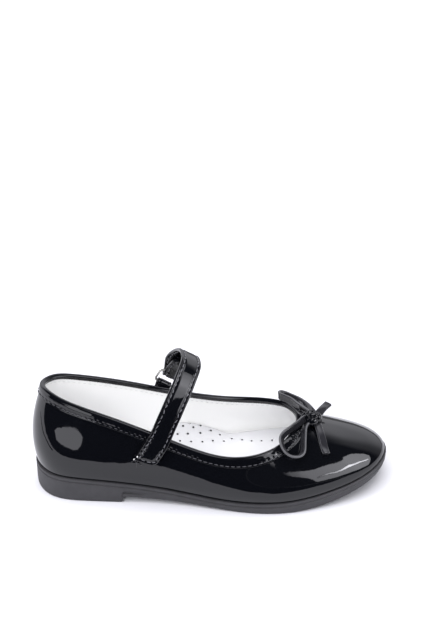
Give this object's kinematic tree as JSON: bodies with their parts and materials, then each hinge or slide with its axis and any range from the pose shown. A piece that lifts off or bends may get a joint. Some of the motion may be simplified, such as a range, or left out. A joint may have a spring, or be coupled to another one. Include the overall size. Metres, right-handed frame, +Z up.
{
  "type": "child's ballet flat",
  "caption": "Child's right Mary Jane ballet flat in black patent leather with an instep strap, metal ring, ribbon bow, low heel and open topline.",
  "frame": {"origin": "on the floor under the middle of the shoe's bounding box", "axes": "+X towards the toe, +Y towards the inner side of the foot, +Z up"},
  "size_m": [0.2056, 0.0734, 0.0827],
  "materials": {
    "patent_leather": "glossy patent, white lining inside the upper",
    "sole_rubber": "matt moulded",
    "insole_leather": "smooth white, perforated",
    "ring_metal": "polished nickel"
  },
  "bodies": {
    "root": {"outsole": "sole_rubber", "insole": "insole_leather", "upper": "patent_leather", "collar_band": "patent_leather", "strap": "patent_leather", "strap_ring": "ring_metal", "ring_tab": "patent_leather", "bow": "patent_leather"}
  },
  "joints": []
}
